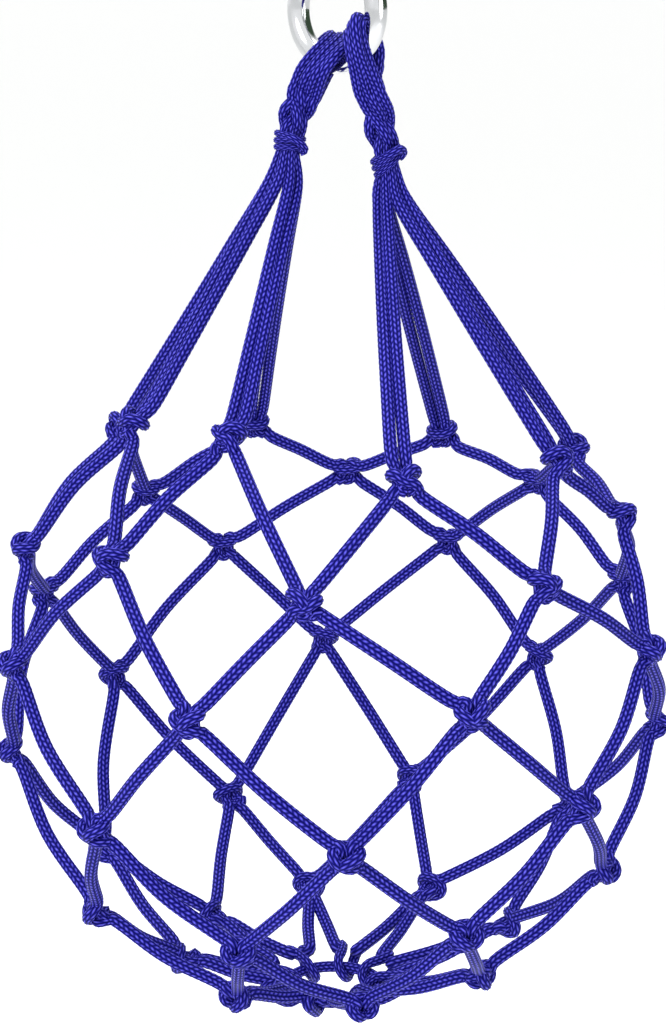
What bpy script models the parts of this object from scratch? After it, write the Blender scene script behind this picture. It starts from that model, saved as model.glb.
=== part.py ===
"""Knotted cord net for carrying one ball, hung by two plaited legs from a steel ring.

Units are metres and +Z is up. The origin is where a hook bears, inside the top of the steel ring.
The net is modelled as it hangs when it is full: six courses of netting twine lie on a size 7 ball,
and eight bights of cord rise from the mouth to two lashings. Above each lashing the cords are
plaited into a leg, and at its top they are folded over the ring.
"""

import math

import bmesh
import bpy
from mathutils import Quaternion, Vector

# ---- Driving dimensions -------------------------------------------------------------------------

BALL_RADIUS = 0.120
MESHES_ROUND = 8
CORD_RADIUS = 0.00225
TIGHT_CORD_RADIUS = 0.0016      # the soft braid where a knot squeezes it
GAP = 0.0004                    # kept between pieces that touch
CORD_SIDES = 5
CURVE_STEPS = 8                 # steps in each span of a smooth line

# Each row of knots: latitude, azimuth of its first knot, how far the row rises to the right, and how
# far it rises to the front, all in degrees. Azimuth 0 faces -Y and grows towards +X.
KNOT_ROWS = [
    ("mouth", 44.5, -71.0, -3.0, 7.5),
    ("second", 26.5, -48.0, 2.5, 0.0),
    ("third", 9.5, -68.0, 1.5, -2.0),
    ("fourth", -11.5, -43.0, 2.0, -2.5),
    ("fifth", -36.0, -64.0, 4.0, 1.0),
    ("last", -59.5, -36.0, 3.0, 0.0),
]
# Knots that were tied off their place: row and number, degrees round, degrees up.
KNOTS_TIED_OFF = {
    (0, 0): (1.0, 2.8), (0, 1): (-3.5, 1.8), (0, 2): (-3.0, -4.5),
    (1, 0): (3.0, 5.0), (1, 1): (-2.0, 0.0), (1, 2): (-2.0, -2.0), (1, 3): (-5.0, 2.0), (1, 7): (8.0, 0.0),
    (3, 2): (-2.2, 1.0),
}
MOUTH_LIFT = 0.0015             # the mouth knots stand off the ball where the cords leave it

# A knot is a collar of squeezed turns round the neck of the bight that comes from above.
BIGHT_HALF_WIDTH = 0.0019
BIGHT_TIP_DROP = 0.0052
NECK_RISE = 0.0055
COLLAR_WALL = 0.0026
COLLAR_HALF_HEIGHT = 0.0036
COLLAR_FACETS = 6

KNOT_SIDE_EXIT = 0.0046         # the cord leaves a knot's side level, and then turns down
KNOT_EXIT_EAST = 0.0078
KNOT_EXIT_DROP = 0.0030
KNOT_EXIT_SINK = 0.0010
NECK_TOP_EAST = 0.0040          # where the two sides of a mesh close in on the next knot's neck
NECK_TOP_NORTH = 0.0115
NECK_TOP_SINK = 0.0012

BOTTOM_RING_RADIUS = 0.018
BOTTOM_RING_POINTS = 16

RING_POINTS = 28
RING_WIRE_SIDES = 8
RING_OUTSIDE_RADIUS = 0.023
RING_WIRE_RADIUS = 0.0041
RING_TURN = math.radians(-43.0)  # the ring's plane, turned about the vertical from facing -Y
RING_TO_BALL = 0.2275            # from the centre of the ring's lowest wire down to the ball's centre
BALL_SIDE_SHIFT = 0.0018         # the ball hangs this far along the ring's plane from its lowest point

# Lashings, as distances from the centre of the ring's lowest wire.
LEFT_LASHING = Vector((-0.0170, 0.0005, -0.0279))
RIGHT_LASHING = Vector((0.0181, 0.0025, -0.0345))
LASHING_TURNS = 2.25
LASHING_STEPS = 10               # points in one turn
LASHING_CORD_RADIUS = 0.0013
GATHERED_CORD_RADIUS = 0.0012
GATHER_LENGTH = 0.0125           # the strands start to close in this far below a lashing's middle
LEG_START = 0.0010               # a leg starts this far above a lashing's middle

# Legs. Each is three bundles plaited together. The first and second are the two ends of three cords
# folded over the ring; the third is the two ends of one more cord.
LEFT_LEG_ON_RING = math.radians(-12.5)   # round the ring from its lowest point
RIGHT_LEG_ON_RING = math.radians(36.0)
PLAIT_TOP = 0.0118               # the plait ends this far below the wire's centre
PLAIT_STEPS = 10
PLAIT_HALF_WIDTH = 0.0043
PLAIT_HALF_DEPTH = 0.0028
PLAIT_END_RADIUS = 0.0025        # where the lashing holds it
PLAIT_BOUND_LENGTH = 0.0045      # held together by the lashing
PLAIT_SPREAD_LENGTH = 0.0035     # and opened out over this much
TOP_PHASE = math.radians(45.0)   # at the top the first bundle is in front and the second behind
BOTTOM_PHASE = math.radians(210.0)
BUNDLE_RADIUS_OF_THREE = 0.0016
BUNDLE_RADIUS_OF_ONE = 0.0011
PAIR_SPACING = 0.0026            # between the two ends of the one cord

# The folds over the ring: place along the swing axis, radius of the cord there, and radius of the bend.
THREE_FOLD_SHIFT = 0.0018
THREE_FOLD_RADIUS = 0.0024
THREE_FOLD_BEND = 0.01
ONE_FOLD_SHIFT = -0.0028
ONE_FOLD_RADIUS = 0.0015
ONE_FOLD_BEND = 0.0102
FOLD_DEGREES = [55, 90, 125, 160, 200, 235, 270, 305]

BLUE = (0.030, 0.026, 0.50)
STEEL = (0.62, 0.63, 0.65)

# ---- Places worked out from them ----------------------------------------------------------------

RING_MIDDLE = Vector((0, 0, -(RING_OUTSIDE_RADIUS - 2 * RING_WIRE_RADIUS)))
WIRE_MIDDLE_RADIUS = RING_OUTSIDE_RADIUS - RING_WIRE_RADIUS
LOWEST_WIRE = RING_MIDDLE - Vector((0, 0, WIRE_MIDDLE_RADIUS))
ALONG_RING = Vector((math.cos(RING_TURN), math.sin(RING_TURN), 0))
BALL_CENTRE = LOWEST_WIRE - Vector((0, 0, RING_TO_BALL)) - ALONG_RING * BALL_SIDE_SHIFT
LEGS_SIDEWAYS = Vector((1, 0, 0))       # the legs are flat in this direction, whatever the ring's turn


def wire_at(angle):
    """The wire's centre at this angle round the ring from its lowest point."""
    outwards = ALONG_RING * math.sin(angle) - Vector((0, 0, math.cos(angle)))
    return RING_MIDDLE + outwards * WIRE_MIDDLE_RADIUS


SWING_AXIS = (wire_at(RIGHT_LEG_ON_RING) - wire_at(LEFT_LEG_ON_RING)).normalized()

CORD_LAY_RADIUS = BALL_RADIUS + CORD_RADIUS + GAP
HOLE_HALF_WIDTH = BIGHT_HALF_WIDTH + TIGHT_CORD_RADIUS + GAP
HOLE_HALF_DEPTH = TIGHT_CORD_RADIUS + GAP
KNOT_RADIUS = BALL_RADIUS + HOLE_HALF_DEPTH + COLLAR_WALL + GAP
LOOP_RADIUS = CORD_RADIUS + TIGHT_CORD_RADIUS + GAP
BOTTOM_RING_LAY = BALL_RADIUS + LOOP_RADIUS + TIGHT_CORD_RADIUS + GAP


# ---- Helpers ------------------------------------------------------------------------------------

def make_material(name, colour, roughness, metallic):
    """A plain Principled material."""
    material = bpy.data.materials.new(name)
    material.use_nodes = True
    shader = material.node_tree.nodes["Principled BSDF"]
    shader.inputs["Base Color"].default_value = (*colour, 1)
    shader.inputs["Roughness"].default_value = roughness
    shader.inputs["Metallic"].default_value = metallic
    return material


def add_object(name, shape, material, parent=None, origin=Vector()):
    """Turns a bmesh into an object whose origin is at the given place."""
    bmesh.ops.recalc_face_normals(shape, faces=shape.faces)
    bmesh.ops.translate(shape, verts=shape.verts, vec=-origin)
    mesh = bpy.data.meshes.new(name)
    shape.to_mesh(mesh)
    shape.free()
    mesh.shade_smooth()
    mesh.set_sharp_from_angle(angle=math.radians(60))
    mesh.materials.append(material)
    made = bpy.data.objects.new(name, mesh)
    bpy.context.scene.collection.objects.link(made)
    made.location = origin
    if parent:
        made.parent = parent
        made.location = origin - parent.location
    return made


def smooth_between(points):
    """Points along a Catmull-Rom curve through the given ones."""
    found = []
    for i, (start, end) in enumerate(zip(points, points[1:])):
        before = points[i - 1] if i else start * 2 - end
        after = points[i + 2] if i + 2 < len(points) else end * 2 - start
        for step in range(CURVE_STEPS):
            t = step / CURVE_STEPS
            found.append(
                0.5 * (2 * start + (end - before) * t
                       + (2 * before - 5 * start + 4 * end - after) * t ** 2
                       + (3 * start - before - 3 * end + after) * t ** 3)
            )
    found.append(points[-1].copy())
    return found


def directions_along(points, closed):
    """The unit direction of travel at each point."""
    count = len(points)
    found = []
    for i in range(count):
        before = points[(i - 1) % count] if closed or i else points[0]
        after = points[(i + 1) % count] if closed or i + 1 < count else points[-1]
        found.append((after - before).normalized())
    return found


def add_tube(shape, points, radii, sides=CORD_SIDES, closed=False):
    """Sweeps a round section along the points, without twist, and closes it with caps or on itself."""
    directions = directions_along(points, closed)
    side = directions[0].orthogonal().normalized()
    sides_along = []
    for i, direction in enumerate(directions):
        if i:
            side = directions[i - 1].rotation_difference(direction) @ side
            side = (side - direction * side.dot(direction)).normalized()
        sides_along.append(side.copy())
    twist_back = 0.0
    if closed:
        last = directions[-1].rotation_difference(directions[0]) @ side
        first = sides_along[0]
        twist_back = -math.atan2(directions[0].dot(first.cross(last)), first.dot(last))
    rings = []
    for i, (point, direction) in enumerate(zip(points, directions)):
        turned = Quaternion(direction, twist_back * i / len(points)) @ sides_along[i]
        other = direction.cross(turned)
        ring = []
        for k in range(sides):
            angle = 2 * math.pi * k / sides
            offset = turned * math.cos(angle) + other * math.sin(angle)
            ring.append(shape.verts.new(point + offset * radii[i]))
        rings.append(ring)
    pairs = list(zip(rings, rings[1:]))
    if closed:
        pairs.append((rings[-1], rings[0]))
    for one, two in pairs:
        for k in range(sides):
            shape.faces.new((one[k], one[(k + 1) % sides], two[(k + 1) % sides], two[k]))
    if not closed:
        shape.faces.new(list(reversed(rings[0])))
        shape.faces.new(rings[-1])


# ---- The knots' places on the ball --------------------------------------------------------------

class Place:
    """A point near the ball with its own east, north and outward directions."""

    def __init__(self, azimuth, latitude, radius):
        self.out = Vector((
            math.cos(latitude) * math.sin(azimuth),
            -math.cos(latitude) * math.cos(azimuth),
            math.sin(latitude),
        ))
        self.east = Vector((math.cos(azimuth), math.sin(azimuth), 0))
        self.north = self.out.cross(self.east)
        self.point = BALL_CENTRE + self.out * radius

    def at(self, east, north, out):
        return self.point + self.east * east + self.north * north + self.out * out


def knot_place(row, index):
    """Where the knot of this row and index sits."""
    _, latitude, first_azimuth, side_tilt, front_tilt = KNOT_ROWS[row]
    more_round, more_up = KNOTS_TIED_OFF.get((row, index % MESHES_ROUND), (0, 0))
    azimuth = math.radians(first_azimuth + more_round) + 2 * math.pi * index / MESHES_ROUND
    tilt = math.radians(side_tilt) * math.sin(azimuth) + math.radians(front_tilt) * math.cos(azimuth)
    lift = MOUTH_LIFT if row == 0 else 0
    return Place(azimuth, math.radians(latitude + more_up) + tilt, KNOT_RADIUS + lift)


def tip_place(row, index):
    """Where the bight between knots index and index + 1 of this row is held, one row down."""
    if row + 1 == len(KNOT_ROWS):
        azimuth = math.radians(KNOT_ROWS[row][2]) + 2 * math.pi * (index + 0.5) / MESHES_ROUND
        polar = math.asin(BOTTOM_RING_RADIUS / BOTTOM_RING_LAY)
        return Place(azimuth, polar - math.pi / 2, BOTTOM_RING_LAY)
    shift = 0 if KNOT_ROWS[row + 1][2] > KNOT_ROWS[row][2] else 1
    return knot_place(row + 1, index + shift)


def along_ball(start, end, shares):
    """Points on the ball's cord layer, part of the way from one place to another."""
    angle = start.out.angle(end.out)
    found = []
    for share in shares:
        out = (
            start.out * math.sin((1 - share) * angle) + end.out * math.sin(share * angle)
        ) / math.sin(angle)
        found.append(BALL_CENTRE + out * CORD_LAY_RADIUS)
    return found


# ---- Net courses --------------------------------------------------------------------------------

def knot_exit(place, way):
    """The cord's first points as it leaves a knot to the east (+1) or to the west (-1)."""
    return [
        place.at(way * KNOT_SIDE_EXIT, 0, 0),
        place.at(way * KNOT_EXIT_EAST, -KNOT_EXIT_DROP, -KNOT_EXIT_SINK),
    ]


def knot_bight(place):
    """The bight through a knot's collar: down the west side, round the tip, up the east side."""
    west = [
        place.at(-NECK_TOP_EAST, NECK_TOP_NORTH, -NECK_TOP_SINK),
        place.at(-BIGHT_HALF_WIDTH, NECK_RISE, 0),
        place.at(-BIGHT_HALF_WIDTH, -0.0030, 0),
    ]
    east = [
        place.at(BIGHT_HALF_WIDTH, -0.0030, 0),
        place.at(BIGHT_HALF_WIDTH, NECK_RISE, 0),
        place.at(NECK_TOP_EAST, NECK_TOP_NORTH, -NECK_TOP_SINK),
    ]
    return west + [place.at(0, -BIGHT_TIP_DROP, 0)] + east


def ring_bight(place):
    """The bight round the bottom ring: outside it on the west, inside it on the east."""
    west = [
        place.at(-0.0030, 0.0110, 0.0006),
        place.at(-BIGHT_HALF_WIDTH, 0.0028, LOOP_RADIUS),
        place.at(-BIGHT_HALF_WIDTH, -0.0012, LOOP_RADIUS),
        place.at(-0.0009, -LOOP_RADIUS, 0.0016),
    ]
    east = [
        place.at(0.0009, -LOOP_RADIUS, -0.0016),
        place.at(BIGHT_HALF_WIDTH, -0.0012, -LOOP_RADIUS),
        place.at(BIGHT_HALF_WIDTH, 0.0028, -LOOP_RADIUS),
        place.at(0.0030, 0.0110, -0.0030),
    ]
    return west + east


def add_collar(shape, place):
    """The squeezed turns of a knot, as an oval sleeve round the neck of the bight."""
    sections = [
        (0, -COLLAR_HALF_HEIGHT),
        (0, COLLAR_HALF_HEIGHT),
        (COLLAR_WALL, COLLAR_HALF_HEIGHT * 0.55),
        (COLLAR_WALL, -COLLAR_HALF_HEIGHT * 0.55),
    ]
    rings = []
    for k in range(COLLAR_FACETS):
        angle = 2 * math.pi * (k + 0.5) / COLLAR_FACETS
        reach = 1 / math.cos(math.pi / COLLAR_FACETS)
        ring = []
        for wall, height in sections:
            east = (HOLE_HALF_WIDTH + wall) * math.cos(angle) * reach
            out = (HOLE_HALF_DEPTH + wall) * math.sin(angle) * reach
            ring.append(shape.verts.new(place.at(east, height, out)))
        rings.append(ring)
    for k, one in enumerate(rings):
        two = rings[(k + 1) % COLLAR_FACETS]
        for s in range(len(sections)):
            t = (s + 1) % len(sections)
            shape.faces.new((one[s], one[t], two[t], two[s]))


def add_course(row, material, parent):
    """One round of netting twine: its knots on this row, and a bight down to the next row."""
    bars = bmesh.new()
    for index in range(MESHES_ROUND):
        start, end = knot_place(row, index), knot_place(row, index + 1)
        tip = tip_place(row, index)
        last_row = row + 1 == len(KNOT_ROWS)
        bight = ring_bight(tip) if last_row else knot_bight(tip)
        down = knot_exit(start, 1) + along_ball(start, tip, (0.35, 0.68))
        up = along_ball(end, tip, (0.68, 0.35)) + list(reversed(knot_exit(end, -1)))
        points = down + bight + up
        radii = []
        for i in range(len(points)):
            inside_bight = len(down) < i < len(down) + len(bight) - 1
            radii.append(TIGHT_CORD_RADIUS if inside_bight else CORD_RADIUS)
        radii[0] = radii[-1] = TIGHT_CORD_RADIUS
        add_tube(bars, points, radii)
    name = f"net_course_{row + 1}"
    course = add_object(name, bars, material, parent)

    knots = bmesh.new()
    for index in range(MESHES_ROUND):
        add_collar(knots, knot_place(row, index))
    collars = add_object(f"{name}_knots", knots, material, parent)
    collars.hide_render = True
    collars.display_type = "WIRE"

    union = course.modifiers.new("knots", "BOOLEAN")
    union.operation = "UNION"
    union.solver = "EXACT"
    union.object = collars


def add_bottom_ring(material, parent):
    """The closed loop of cord that the last course's bights hang on."""
    height = -math.sqrt(BOTTOM_RING_LAY ** 2 - BOTTOM_RING_RADIUS ** 2)
    points = []
    for k in range(BOTTOM_RING_POINTS):
        angle = 2 * math.pi * k / BOTTOM_RING_POINTS
        offset = Vector((math.cos(angle), math.sin(angle), 0)) * BOTTOM_RING_RADIUS
        points.append(BALL_CENTRE + offset + Vector((0, 0, height)))
    shape = bmesh.new()
    add_tube(shape, points, [CORD_RADIUS] * len(points), closed=True)
    add_object("bottom_ring", shape, material, parent)


# ---- Suspension bights --------------------------------------------------------------------------

class Lashing:
    """A place where eight cords are bound together, with the leg that leaves it for the ring."""

    def __init__(self, side, offset, on_ring, first_knot, first_angle):
        self.side = side
        self.middle = LOWEST_WIRE + offset
        self.first_knot = first_knot
        self.first_angle = math.radians(first_angle)
        self.wire = wire_at(on_ring)
        self.leg_top = self.wire + (self.middle - self.wire).normalized() * PLAIT_TOP
        towards_ring = (self.leg_top - self.middle).normalized()
        self.up = (Vector((0, 0, 1)) + towards_ring).normalized()
        self.right = (Vector((1, 0, 0)) - self.up * self.up.x).normalized()
        self.back = self.up.cross(self.right)

    def at(self, right, back, up):
        return self.middle + self.right * right + self.back * back + self.up * up

    def slot(self, number, radius, up):
        """A place in the ring of eight cords; slots are counted anticlockwise seen from above."""
        angle = self.first_angle + (number - 0.5) * math.pi / 4
        return self.at(radius * math.cos(angle), radius * math.sin(angle), up)


SLOT_RADIUS = (GATHERED_CORD_RADIUS + GAP / 2) / math.sin(math.pi / 8)
BUNDLE_RADIUS = SLOT_RADIUS + GATHERED_CORD_RADIUS
LASHINGS = [
    Lashing("left", LEFT_LASHING, LEFT_LEG_ON_RING, -2, 45),
    Lashing("right", RIGHT_LASHING, RIGHT_LEG_ON_RING, 2, 225),
]


def add_suspension(lashing, order, material, parent):
    """A bight of cord: up from a mouth knot as two strands, which end side by side in a lashing."""
    knot = knot_place(0, lashing.first_knot + order)
    strands = []
    for number in (2 * order, 2 * order + 1):
        strands.append([
            lashing.slot(number, SLOT_RADIUS * 1.75, -GATHER_LENGTH),
            lashing.slot(number, SLOT_RADIUS, -GATHER_LENGTH / 3),
            lashing.slot(number, SLOT_RADIUS, -LEG_START),
        ])
    west = [
        knot.at(-0.0028, 0.016, 0.0004),
        knot.at(-BIGHT_HALF_WIDTH, NECK_RISE, 0),
        knot.at(-BIGHT_HALF_WIDTH, -0.0030, 0),
    ]
    east = [
        knot.at(BIGHT_HALF_WIDTH, -0.0030, 0),
        knot.at(BIGHT_HALF_WIDTH, NECK_RISE, 0),
        knot.at(0.0028, 0.016, 0.0004),
    ]
    tip = [knot.at(0, -BIGHT_TIP_DROP, 0)]
    points = list(reversed(strands[0])) + west + tip + east + strands[1]
    radii = [GATHERED_CORD_RADIUS, GATHERED_CORD_RADIUS, 0.0018, CORD_RADIUS]
    radii += [TIGHT_CORD_RADIUS] * 5
    radii += [CORD_RADIUS, 0.0018, GATHERED_CORD_RADIUS, GATHERED_CORD_RADIUS]
    shape = bmesh.new()
    add_tube(shape, points, radii)
    add_object(f"suspension_bight_{lashing.side}_{order + 1}", shape, material, parent)


def add_lashing(lashing, material, parent):
    """The short coil of cord that binds the eight strands."""
    coil_radius = BUNDLE_RADIUS + GAP + LASHING_CORD_RADIUS
    pitch = 2 * LASHING_CORD_RADIUS + GAP
    count = round(LASHING_TURNS * LASHING_STEPS)
    points = []
    for k in range(count + 1):
        angle = 2 * math.pi * k / LASHING_STEPS
        height = pitch * (k / LASHING_STEPS - LASHING_TURNS / 2)
        points.append(lashing.at(coil_radius * math.cos(angle), coil_radius * math.sin(angle), height))
    shape = bmesh.new()
    add_tube(shape, points, [LASHING_CORD_RADIUS] * len(points))
    add_object(f"gather_lashing_{lashing.side}", shape, material, parent)


# ---- Legs ---------------------------------------------------------------------------------------

def spaced_evenly(points, count):
    """The same line as the given number of equal steps, and its whole length."""
    lengths = [0.0]
    for one, two in zip(points, points[1:]):
        lengths.append(lengths[-1] + (two - one).length)
    found = []
    i = 1
    for k in range(count + 1):
        wanted = lengths[-1] * k / count
        while i + 1 < len(points) and lengths[i] < wanted:
            i += 1
        share = (wanted - lengths[i - 1]) / (lengths[i] - lengths[i - 1])
        found.append(points[i - 1].lerp(points[i], share))
    return found, lengths[-1]


def plait_lines(lashing):
    """The middles of the three bundles, from just under the ring down to the lashing.

    Each comes with the plait's outward direction at every point.
    """
    guides = [
        lashing.leg_top,
        lashing.at(0, 0, LEG_START + 2 * PLAIT_BOUND_LENGTH),
        lashing.at(0, 0, LEG_START),
    ]
    middle, whole = spaced_evenly(smooth_between(guides), PLAIT_STEPS)
    directions = directions_along(middle, False)
    lines = [[], [], []]
    prouds = []
    for k, (point, direction) in enumerate(zip(middle, directions)):
        side = (LEGS_SIDEWAYS - direction * LEGS_SIDEWAYS.dot(direction)).normalized()
        proud = direction.cross(side)
        prouds.append(proud)
        to_end = whole * (1 - k / PLAIT_STEPS)
        free = min(1.0, max(0.0, (to_end - PLAIT_BOUND_LENGTH) / PLAIT_SPREAD_LENGTH))
        width = PLAIT_END_RADIUS + (PLAIT_HALF_WIDTH - PLAIT_END_RADIUS) * free
        depth = PLAIT_END_RADIUS + (PLAIT_HALF_DEPTH - PLAIT_END_RADIUS) * free
        woven = min(1.0, whole * k / PLAIT_STEPS / (whole - PLAIT_BOUND_LENGTH))
        for bundle, line in enumerate(lines):
            phase = TOP_PHASE + (BOTTOM_PHASE - TOP_PHASE) * woven + 2 * math.pi * bundle / 3
            line.append(point + side * width * math.sin(phase) + proud * depth * math.sin(2 * phase))
    return lines, prouds


def add_fold(name, lashing, front, back, plait_radius, shift, fold_radius, bend, material, parent):
    """A cord, or a bundle of cords, folded over the ring: up the front line and down the back one.

    The fold lies square to the line that the bag swings about, so that it keeps clear of the wire.
    """
    leg = lashing.leg_top - lashing.wire
    down = (leg - SWING_AXIS * leg.dot(SWING_AXIS)).normalized()
    facing = down.cross(SWING_AXIS)
    over = []
    for degrees in FOLD_DEGREES:
        angle = math.radians(degrees)
        across = facing * math.sin(angle) + down * math.cos(angle)
        over.append(lashing.wire + SWING_AXIS * shift + across * bend)
    points = list(reversed(front)) + over + back
    radii = [plait_radius] * len(front) + [fold_radius] * len(over) + [plait_radius] * len(back)
    shape = bmesh.new()
    add_tube(shape, points, radii)
    add_object(name, shape, material, parent)


def add_leg(lashing, material, parent):
    """The plaited leg between a lashing and the ring."""
    lines, prouds = plait_lines(lashing)
    add_fold(
        f"leg_{lashing.side}_three_cords", lashing, lines[0], lines[1], BUNDLE_RADIUS_OF_THREE,
        THREE_FOLD_SHIFT, THREE_FOLD_RADIUS, THREE_FOLD_BEND, material, parent)
    pair = []
    for way in (1, -1):
        pair.append([p + d * way * PAIR_SPACING / 2 for p, d in zip(lines[2], prouds)])
    add_fold(
        f"leg_{lashing.side}_one_cord", lashing, pair[0], pair[1], BUNDLE_RADIUS_OF_ONE,
        ONE_FOLD_SHIFT, ONE_FOLD_RADIUS, ONE_FOLD_BEND, material, parent)


# ---- Steel ring ---------------------------------------------------------------------------------

def add_steel_ring(material):
    """The ring that a hook holds and the two legs hang on."""
    points = []
    for k in range(RING_POINTS):
        angle = 2 * math.pi * k / RING_POINTS
        offset = ALONG_RING * math.cos(angle) + Vector((0, 0, math.sin(angle)))
        points.append(RING_MIDDLE + offset * WIRE_MIDDLE_RADIUS)
    shape = bmesh.new()
    add_tube(shape, points, [RING_WIRE_RADIUS] * len(points), sides=RING_WIRE_SIDES, closed=True)
    add_object("hanging_ring", shape, material, origin=RING_MIDDLE)


# ---- Assembly -----------------------------------------------------------------------------------

def main():
    for old in list(bpy.data.objects):
        bpy.data.objects.remove(old)

    cord = make_material("blue_braided_cord", BLUE, 0.45, 0.0)
    steel = make_material("polished_steel", STEEL, 0.12, 1.0)

    swing = bpy.data.objects.new("swing_axis", None)
    bpy.context.scene.collection.objects.link(swing)
    swing.location = LASHINGS[0].wire

    add_steel_ring(steel)
    for lashing in LASHINGS:
        add_leg(lashing, cord, swing)
        add_lashing(lashing, cord, swing)
        for order in range(4):
            add_suspension(lashing, order, cord, swing)
    for row in range(len(KNOT_ROWS)):
        add_course(row, cord, swing)
    add_bottom_ring(cord, swing)


main()
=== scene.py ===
# %% [markdown]
# # A knotted cord net for one ball
#
# The real thing is about twelve metres of soft braided cord and one steel ring. Netting twine is
# tied mesh by mesh round a ball, eight doubled cords rise from the mouth, two lashings gather
# them, and above each lashing they are plaited into a leg and folded over the ring. The ball
# itself is not part of the object.
#
# Every cord here is a centreline worked out from the net's own layout, and one node tree turns
# each centreline into braided cord. That is how a net is made: one material, many paths.

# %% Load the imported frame
import math
import random

import bpy
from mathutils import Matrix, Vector


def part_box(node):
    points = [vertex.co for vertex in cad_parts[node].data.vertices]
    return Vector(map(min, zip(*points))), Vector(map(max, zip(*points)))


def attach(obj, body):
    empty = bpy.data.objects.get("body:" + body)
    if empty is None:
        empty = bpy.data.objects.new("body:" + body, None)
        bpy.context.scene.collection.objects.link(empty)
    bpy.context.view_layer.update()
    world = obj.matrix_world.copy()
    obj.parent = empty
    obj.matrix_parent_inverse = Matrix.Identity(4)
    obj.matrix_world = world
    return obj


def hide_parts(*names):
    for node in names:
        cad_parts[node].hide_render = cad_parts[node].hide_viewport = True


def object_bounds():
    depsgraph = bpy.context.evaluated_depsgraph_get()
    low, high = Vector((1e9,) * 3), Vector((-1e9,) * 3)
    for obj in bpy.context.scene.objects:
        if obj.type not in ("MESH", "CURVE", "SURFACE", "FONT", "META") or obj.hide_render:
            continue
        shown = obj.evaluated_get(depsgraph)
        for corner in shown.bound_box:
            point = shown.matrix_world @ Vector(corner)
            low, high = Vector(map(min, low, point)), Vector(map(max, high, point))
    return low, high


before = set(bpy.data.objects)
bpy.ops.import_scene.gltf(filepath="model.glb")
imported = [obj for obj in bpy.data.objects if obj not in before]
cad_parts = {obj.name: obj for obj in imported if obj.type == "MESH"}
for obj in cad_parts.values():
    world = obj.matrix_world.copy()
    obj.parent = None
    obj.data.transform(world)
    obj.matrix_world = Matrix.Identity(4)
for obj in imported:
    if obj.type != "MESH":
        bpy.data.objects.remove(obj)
cad_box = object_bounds()

# %% [markdown]
# ## Where everything hangs
#
# The steel ring is the only hard part, so all places are measured from it. Its lower wire
# carries the two legs, and the ball's middle lies 227.5 mm below it, a little to one side.

# %% Places taken from the steel ring
MM = 0.001
WIRE_RADIUS = 4.1 * MM
RING_OUTSIDE_RADIUS = 23 * MM
BAR_MIDDLE_RADIUS = RING_OUTSIDE_RADIUS - WIRE_RADIUS
RING_TURN = math.radians(-43)
BALL_RADIUS = 120 * MM
BALL_UNDER_WIRE = 227.5 * MM
BALL_ASIDE = 1.8            # along the ring, in millimetres

ring_low, ring_high = (Vector(corner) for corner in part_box("hanging_ring"))
ring_middle = (ring_low + ring_high) / 2
lowest_wire = Vector((ring_middle.x, ring_middle.y, ring_middle.z - RING_OUTSIDE_RADIUS + WIRE_RADIUS))
along_ring = Vector((math.cos(RING_TURN), math.sin(RING_TURN), 0))
across_ring = Vector((math.sin(RING_TURN), -math.cos(RING_TURN), 0))
ball_centre = lowest_wire - Vector((0, 0, BALL_UNDER_WIRE)) - along_ring * BALL_ASIDE * MM
print("ring middle", tuple(round(v, 4) for v in ring_middle))
print("ball centre", tuple(round(v, 4) for v in ball_centre))

# %% [markdown]
# ## The rows of knots
#
# A hand-tied net is never quite even. Each row has its own height on the ball, its own start,
# and a slight lean, and alternate rows sit half a mesh round from each other. A few knots near
# the mouth were tied well off their place.

# %% The six rows, and a place on the ball with its own directions
MESHES_ROUND = 8
CORD_RADIUS = 2.35 * MM
KNOT_LAY = 125.0 * MM
MOUTH_LIFT = 1.5 * MM       # the mouth knots stand off the ball
KNOT_ROWS = [
    # latitude, azimuth of the first knot, rise to the right, rise to the front (degrees)
    (44.5, -71.0, -3.0, 7.5),
    (26.5, -48.0, 2.5, 0.0),
    (9.5, -68.0, 1.5, -2.0),
    (-11.5, -43.0, 2.0, -2.5),
    (-36.0, -64.0, 4.0, 1.0),
    (-59.5, -36.0, 3.0, 0.0),
]
# Row and number of a knot that was tied off its place: degrees round, degrees up.
TIED_OFF = {
    (0, 0): (1.0, 2.8), (0, 1): (-3.5, 1.8), (0, 2): (-3.0, -4.5),
    (1, 0): (3.0, 5.0), (1, 1): (-2.0, 0.0), (1, 2): (-2.0, -2.0), (1, 3): (-5.0, 2.0), (1, 7): (8.0, 0.0),
    (3, 2): (-2.2, 1.0),
}


class Spot:
    """A point near the ball, with east, north and outward directions."""

    def __init__(self, azimuth, latitude, lay):
        self.out = Vector((
            math.cos(latitude) * math.sin(azimuth),
            -math.cos(latitude) * math.cos(azimuth),
            math.sin(latitude),
        ))
        self.east = Vector((math.cos(azimuth), math.sin(azimuth), 0))
        self.north = self.out.cross(self.east)
        self.point = ball_centre + self.out * lay

    def at(self, east, north, out):
        return self.point + self.east * east + self.north * north + self.out * out


def knot_spot(row, index):
    """The middle of one netting knot."""
    latitude, first, side_lean, front_lean = KNOT_ROWS[row]
    more_round, more_up = TIED_OFF.get((row, index % MESHES_ROUND), (0, 0))
    azimuth = math.radians(first + more_round) + 2 * math.pi * index / MESHES_ROUND
    lean = math.radians(side_lean) * math.sin(azimuth) + math.radians(front_lean) * math.cos(azimuth)
    lay = KNOT_LAY + (MOUTH_LIFT if row == 0 else 0)
    return Spot(azimuth, math.radians(latitude + more_up) + lean, lay)


print("mouth knots at", [tuple(round(v, 3) for v in knot_spot(0, k).point) for k in range(3)])

# %% [markdown]
# ## One netting knot
#
# The netmaker's knot is a sheet bend: the bight of the mesh above hangs down, and the working
# twine comes up through it from behind, crosses to the front, goes round the back of the neck and
# tucks under itself. Two short centrelines hold that shape, in millimetres, and every knot is
# a copy of them with its own small turn and size, because no two hand-tied knots sit the same.

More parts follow.
